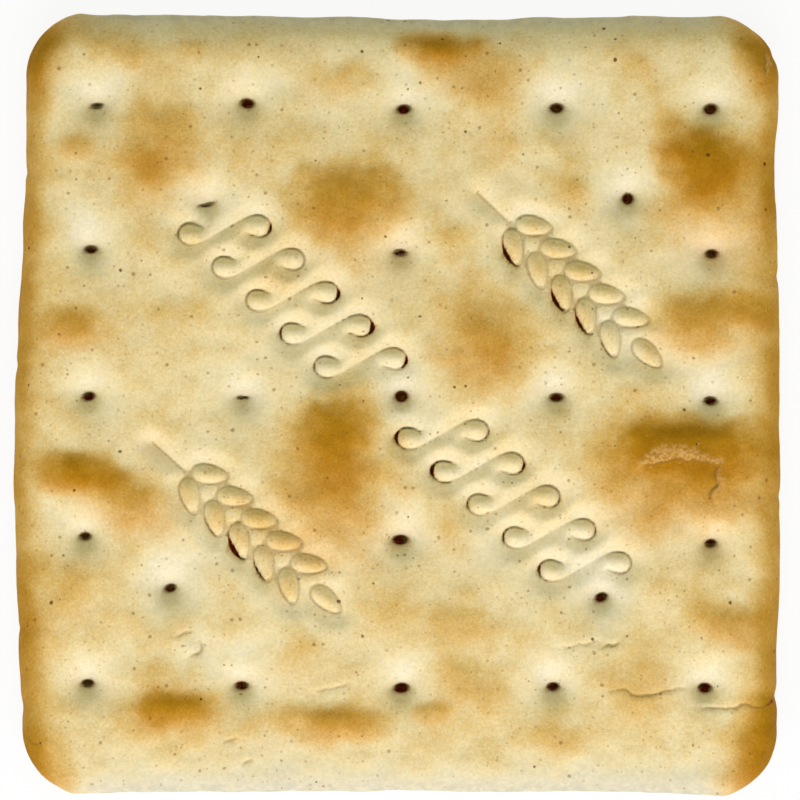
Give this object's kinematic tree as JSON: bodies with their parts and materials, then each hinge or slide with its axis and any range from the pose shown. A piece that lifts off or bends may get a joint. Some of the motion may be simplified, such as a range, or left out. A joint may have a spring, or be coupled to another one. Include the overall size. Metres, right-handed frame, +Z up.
{
  "type": "cream cracker",
  "caption": "Square baked cream cracker with rounded corners, browned blisters, docker holes and a stamped ornament of S-scrolls and ears of corn, lying face up.",
  "frame": {"origin": "middle of the box at the underside, on the surface that the cracker lies on", "axes": "+Z up through the face, +X and +Y along the sides: the browned sides face -X and +X, the pale broken sides face -Y and +Y"},
  "size_m": [0.0668, 0.0682, 0.0068],
  "materials": {
    "baked_cracker": "dry matte baked crust, pale cream with golden brown blisters"
  },
  "bodies": {
    "root": {"cracker": "baked_cracker"}
  },
  "joints": []
}
